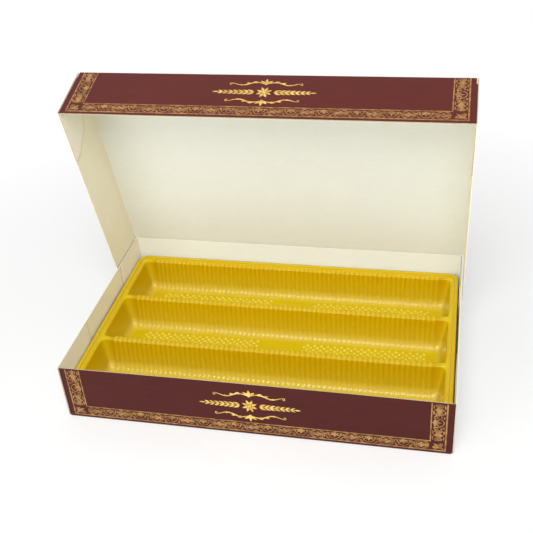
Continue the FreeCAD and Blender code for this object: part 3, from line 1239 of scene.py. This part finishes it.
def addLoop(bm, rows):
    # Points in a row, each with its depth of colour, painted shade included, and its milkiness, a
    # painted highlight
    deepAndShaded, milkHighlight = (bm.verts.layers.float[name] for name in ("deepAndShaded", "milkHighlight"))
    loop = []
    for place, colour, milkyHighlight in rows:
        loop.append(bm.verts.new(place))
        loop[-1][deepAndShaded] = colour
        loop[-1][milkHighlight] = milkyHighlight
    return loop


def bridge(bm, upper, lower):
    count = len(upper)
    for i in range(count):
        after = (i + 1) % count
        bm.faces.new((upper[i], lower[i], lower[after], upper[after]))


def loopEdges(bm, loop):
    pairs = zip(loop, loop[1:] + loop[:1])
    return [bm.edges.get(pair) or bm.edges.new(pair) for pair in pairs]


def trayMiddles():
    look = trayLook
    count = look["compartments"]
    width = (trayHigh.y - trayLow.y - 2 * look["rim"] - (count - 1) * look["ridge"]) / count
    first = trayLow.y + look["rim"] + width / 2
    return [first + k * (width + look["ridge"]) for k in range(count)], width


def fluteTops(bm, mouths, mouthZ):
    # Carries the flutes over the ridges, and to a flat strip along the rim; gives the
    # edges round what is left to fill
    look = trayLook
    run = look["flutes"] * look["fluteSteps"] + 1
    half = len(mouths[0]) // 2
    near = [loop[1:1 + run] for loop in mouths]
    far = [loop[half + 1:half + 1 + run][::-1] for loop in mouths]
    strips = []
    for low, high in zip([None] + far, near + [None]):
        middle = []
        for i in range(run):
            if low and high:
                place = (low[i].co + high[i].co) / 2
                place.z = mouthZ - look["notch"] * grooveAt(i)
                middle.append((place, grooveAt(i), 0.0))
            else:
                edge = low or high
                y = edge[0].co.y + (look["flatEdge"] if low else -look["flatEdge"])
                middle.append(((edge[i].co.x, y, mouthZ), look["edgeColour"], 0.0))
        strips.append([row for row in (low, addLoop(bm, middle), high) if row])
    edges = []
    for rows in strips:
        for a, b in zip(rows, rows[1:]):
            for i in range(run - 1):
                bm.faces.new((a[i], a[i + 1], b[i + 1], b[i]))
            edges += [bm.edges.get((a[0], b[0])), bm.edges.get((a[-1], b[-1]))]
    for row in (strips[0][0], strips[-1][-1]):
        edges += [bm.edges.get(pair) for pair in zip(row, row[1:])]
    inner = {bm.edges.get(pair) for row in near + far for pair in zip(row, row[1:])}
    for loop in mouths:
        edges += [edge for edge in loopEdges(bm, loop) if edge not in inner]
    return edges


def buildTray():
    look = trayLook
    bm = bmesh.new()
    bm.verts.layers.float.new("deepAndShaded")
    bm.verts.layers.float.new("milkHighlight")
    middles, width = trayMiddles()
    floorZ = trayLow.z + look["floorRise"]
    mouthZ = trayHigh.z - look["step"]
    mouths = []
    for middle in middles:
        above = None
        for insetY, insetX, drop, gain, notch, colour, milkyHighlight in trayLevels(mouthZ - floorZ):
            corner = max(look["footCorner"], look["corner"] - look["cornerShrink"] * insetX)
            row = trayRow(trayHigh.x - look["rim"] - insetX, width / 2 - insetY, corner, gain)
            row += [(-x, -y, groove, shade) for x, y, groove, shade in row]
            crest = look["crestColour"] - look["notchHighlight"] * notch
            loop = addLoop(bm, [((x, y + middle, mouthZ - drop - notch * look["notch"] * groove),
                                 colour * between(crest, 1, shade),
                                 milkyHighlight * (1 - look["grooveHighlight"] * shade))
                                for x, y, groove, shade in row])
            if above:
                bridge(bm, above, loop)
            else:
                mouths.append(loop)
            above = loop
        bmesh.ops.triangle_fill(bm, use_beauty=True, edges=loopEdges(bm, above), normal=up)
    rimEdges = fluteTops(bm, mouths, mouthZ)
    centre = (trayLow.y + trayHigh.y) / 2
    halfWidth = (trayHigh.y - trayLow.y) / 2
    above = None
    for inset, drop, colour in rimLevels():
        row = rimRow(trayHigh.x - inset, halfWidth - inset, look["rimCorner"] - inset)
        loop = addLoop(bm, [((x, y + centre, trayHigh.z - drop), colour, 0.0) for x, y in row])
        if above:
            bridge(bm, loop, above)
        else:
            rimEdges += loopEdges(bm, loop)
        above = loop
    bmesh.ops.triangle_fill(bm, use_beauty=True, edges=rimEdges, normal=up)
    bmesh.ops.recalc_face_normals(bm, faces=bm.faces)
    top = max(bm.faces, key=lambda f: f.calc_center_median().z)
    if top.normal.z < 0:
        bmesh.ops.reverse_faces(bm, faces=bm.faces)
    mesh = bpy.data.meshes.new("sweetsTray")
    bm.to_mesh(mesh)
    bm.free()
    mesh.polygons.foreach_set("use_smooth", [True] * len(mesh.polygons))
    mesh.materials.append(trayPlastic)
    tray = addObject("sweetsTray", mesh)
    wall = tray.modifiers.new("sheet", "SOLIDIFY")
    wall.thickness = look["sheet"]
    wall.offset = -1.0
    return tray


plasticLook = {
    "pale": srgb(226, 197, 8),
    "deepAndShaded": srgb(208, 161, 0),
    # colour of the painted highlight at the wall feet and corners
    "milkyHighlight": srgb(238, 220, 116),
    # paler colour of the pimples: painted highlight
    "pimpleHighlight": srgb(242, 224, 90),
    "hazeShare": 0.08,          # how much deeper the haze makes the colour
    "highlightShare": 0.42,
    "roughness": (0.11, 0.18),  # with the haze
}


def goldenPlastic(name, pale):
    # Clear golden sheet, deeper in colour in the grooves and at the wall tops, a painted shade
    # where the sheet is also stretched least, and milky at the wall feet and corners, a painted
    # highlight
    look = plasticLook
    material, tree, shader = newMaterial(
        name, 0.14, Transmission_Weight=0.12, IOR=1.5, Specular_IOR_Level=0.22,
        Coat_Weight=0.06, Coat_Roughness=0.06)
    haze = noise(tree, ownPlace(tree), scale=30.0, detail=3.0)
    tone = mapRange(tree, haze, (0.35, 0.65))
    depth = weighted(tree, (tone, look["hazeShare"]), (meshValue(tree, "deepAndShaded"), 1.0))
    golden = mixColour(tree, depth, look[pale], look["deepAndShaded"])
    milkHighlight = maths(tree, "MULTIPLY", meshValue(tree, "milkHighlight"), look["highlightShare"])
    rough = mapRange(tree, haze, (0.3, 0.7), *look["roughness"])
    tree.links.new(mixColour(tree, milkHighlight, golden, look["milkyHighlight"]), shader.inputs["Base Color"])
    tree.links.new(rough, shader.inputs["Roughness"])
    return material


trayPlastic = goldenPlastic("goldenPlastic", "pale")
highlightPimplePlastic = goldenPlastic("highlightPimplePlastic", "pimpleHighlight")
tray = buildTray()
settle(tray, "tray", "tray_plastic", "sweets_tray")
print("tray formed,", len(tray.data.polygons), "faces")

# Pimples pressed in the floors at both ends
pimpleLook = {
    "pitch": 5.8 * mm,
    "radius": 1.4 * mm,
    "height": 1.0 * mm,
    "from": 19.0 * mm,
    "to": 124.0 * mm,
    "width": 30.0 * mm,
    "sunk": 0.05 * mm,
    "sides": 10,
    "rings": ((0.8, 0.55), (0.35, 0.88), (0.0, 1.0)),  # shares of the height and radius
}


def pimpleTree():
    # Two grids of domes, one between the other
    tree, given = newTree("GeometryNodeTree", "pimpleField", {
        "First Place": "Vector", "Second Place": "Vector", "Length": "Float", "Width": "Float",
        "Columns": "Int", "Rows": "Int", "Dome": "Object", "Finish": "Material"},
        {"Geometry": "Geometry"})
    grid = put(tree, "GeometryNodeMeshGrid", {
        "Size X": given["Length"], "Size Y": given["Width"],
        "Vertices X": given["Columns"], "Vertices Y": given["Rows"]}).outputs["Mesh"]
    joined = tree.nodes.new("GeometryNodeJoinGeometry")
    for label in ("First Place", "Second Place"):
        moved = put(tree, "GeometryNodeTransform", {"Geometry": grid, "Translation": given[label]})
        tree.links.new(moved.outputs["Geometry"], joined.inputs["Geometry"])
    dome = put(tree, "GeometryNodeObjectInfo", {"Object": given["Dome"]})
    laid = put(tree, "GeometryNodeInstanceOnPoints", {
        "Points": joined.outputs["Geometry"], "Instance": dome.outputs["Geometry"]})
    return endTree(tree, laid.outputs["Instances"], given["Finish"])


def domeObject():
    look = pimpleLook
    sides = look["sides"]
    verts = [(0, 0, look["height"])]
    for rise, reach in look["rings"]:
        verts += [(*around(0, 0, reach * look["radius"], 360 * k / sides), rise * look["height"])
                  for k in range(sides)]
    faces = []
    foot = len(verts) - sides
    for k in range(sides):
        after = (k + 1) % sides
        faces.append([0, 1 + k, 1 + after])
        for a in range(1, foot, sides):
            faces.append([a + k, a + sides + k, a + sides + after, a + after])
    faces.append([foot + k for k in reversed(range(sides))])
    return cellObject("dome", {"verts": verts, "faces": faces})


def buildPimples():
    look = pimpleLook
    pitch = look["pitch"]
    dome = domeObject()
    tree = pimpleTree()
    columns = int((look["to"] - look["from"]) / pitch)
    rows = int(look["width"] / pitch)
    z = trayLow.z + trayLook["floorRise"] - look["sunk"]
    sheet = newSheet()
    for y in trayMiddles()[0]:
        for side in (1, -1):
            x = side * (look["from"] + look["to"]) / 2
            addNodes(sheet, tree, {
                "First Place": (x, y, z), "Second Place": (x + pitch / 2, y + pitch / 2, z),
                "Length": pitch * (columns - 1), "Width": pitch * (rows - 1),
                "Columns": columns, "Rows": rows, "Dome": dome, "Finish": highlightPimplePlastic})
    bpy.data.objects.remove(dome)
    return meshPiece("trayPimples", sheet["verts"], sheet["faces"], [highlightPimplePlastic],
                     smoothAngle=80)


settle(buildPimples(), "tray", "tray_plastic")
print("floors pimpled")


# Stage: pale floor, soft light, and a camera where the photograph was taken from
stageLook = {
    "floorSize": 8.0,
    "floorDrop": 0.2 * mm,
    "floor": (srgb(250, 250, 249), srgb(236, 236, 234)),
    "whiteNear": 0.35,          # share of plain white beside the box
    "whiteRange": (0.2, 0.5),   # from there to plain white
    "worldLight": 0.49,
}
lampLook = {
    "key": {"place": (0.11, -0.79, 1.03), "aim": (0, 0, 0.08), "size": 0.7, "power": 10.8},
    "fill": {"place": (-0.7, -1.05, 0.35), "aim": (0, 0, 0.1), "size": 0.9, "power": 4.2},
}
cameraLook = {
    "place": (0.1391, -0.5477, 0.4742),
    "aim": (-0.0022, 0.0, 0.0918),
    "roll": -4.7,
    "photoFocal": 487.7,        # pixels, for the photograph's frame
    "zoom": 1.76,
    "framePixels": 533,
    "sensor": 36.0,
    "clip": (0.01, 50.0),
}


def seenRay(tree):
    # 1 where the camera sees something, also in a gloss or through the sheet
    path = put(tree, "ShaderNodeLightPath").outputs
    return maths(tree, "MAXIMUM", path["Is Camera Ray"],
                 maths(tree, "MAXIMUM", path["Is Glossy Ray"], path["Is Transmission Ray"]))


def buildFloor():
    # Far from the box the floor is seen as plain white; near it, it keeps the shadow
    look = stageLook
    material, tree, shader = newMaterial("floorPaper", 0.9)
    place = ownPlace(tree)
    haze = noise(tree, place, scale=3.0, detail=2.0)
    tone = mapRange(tree, haze, (0.4, 0.6), toHigh=0.02)
    tree.links.new(mixColour(tree, tone, *look["floor"]), shader.inputs["Base Color"])
    away = put(tree, "ShaderNodeVectorMath", {0: place}, operation="LENGTH").outputs["Value"]
    white = mapRange(tree, away, look["whiteRange"], look["whiteNear"], 1.0)
    plain = maths(tree, "MULTIPLY", seenRay(tree), white)
    glow = put(tree, "ShaderNodeEmission").outputs[0]  # plain white
    both = put(tree, "ShaderNodeMixShader", {0: plain, 1: shader.outputs[0], 2: glow}).outputs[0]
    tree.links.new(both, tree.nodes["Material Output"].inputs["Surface"])
    half, z = look["floorSize"] / 2, -look["floorDrop"]
    corners = [(-half, -half, z), (half, -half, z), (half, half, z), (-half, half, z)]
    floor = meshPiece("floor", corners, [[0, 1, 2, 3]], [material])


def buildWorld():
    world = bpy.data.worlds.new("studio")
    bpy.context.scene.world = world
    world.use_nodes = True
    tree = world.node_tree
    sky = tree.nodes["Background"]
    light = mapRange(tree, seenRay(tree), (0.0, 1.0), stageLook["worldLight"], 1.0)
    tree.links.new(light, sky.inputs["Strength"])
    sky.inputs["Color"].default_value = (1, 1, 1, 1)


def softLight(name, place, aim, size, power):
    light = bpy.data.lights.new(name, "AREA")
    light.shape = "DISK"
    light.size = size
    light.energy = power
    lamp = addObject(name, light)
    lamp.location = place
    lamp.rotation_euler = (Vector(aim) - Vector(place)).to_track_quat("-Z", "Y").to_euler()


def buildCamera():
    look = cameraLook
    data = bpy.data.cameras.new("photoCamera")
    camera = addObject("photoCamera", data)
    place = Vector(look["place"])
    way = (Vector(look["aim"]) - place).normalized()
    roll = Matrix.Rotation(math.radians(look["roll"]), 3, "Z")
    camera.location = place
    camera.rotation_euler = (way.to_track_quat("-Z", "Y").to_matrix() @ roll).to_euler()
    data.sensor_width = look["sensor"]
    data.lens = look["photoFocal"] * look["zoom"] * data.sensor_width / look["framePixels"]
    data.clip_start, data.clip_end = look["clip"]
    bpy.context.scene.camera = camera


buildFloor()
buildWorld()
for name, lamp in lampLook.items():
    softLight(name, **lamp)
buildCamera()
bpy.context.scene.view_settings.view_transform = "Standard"
print("stage set")
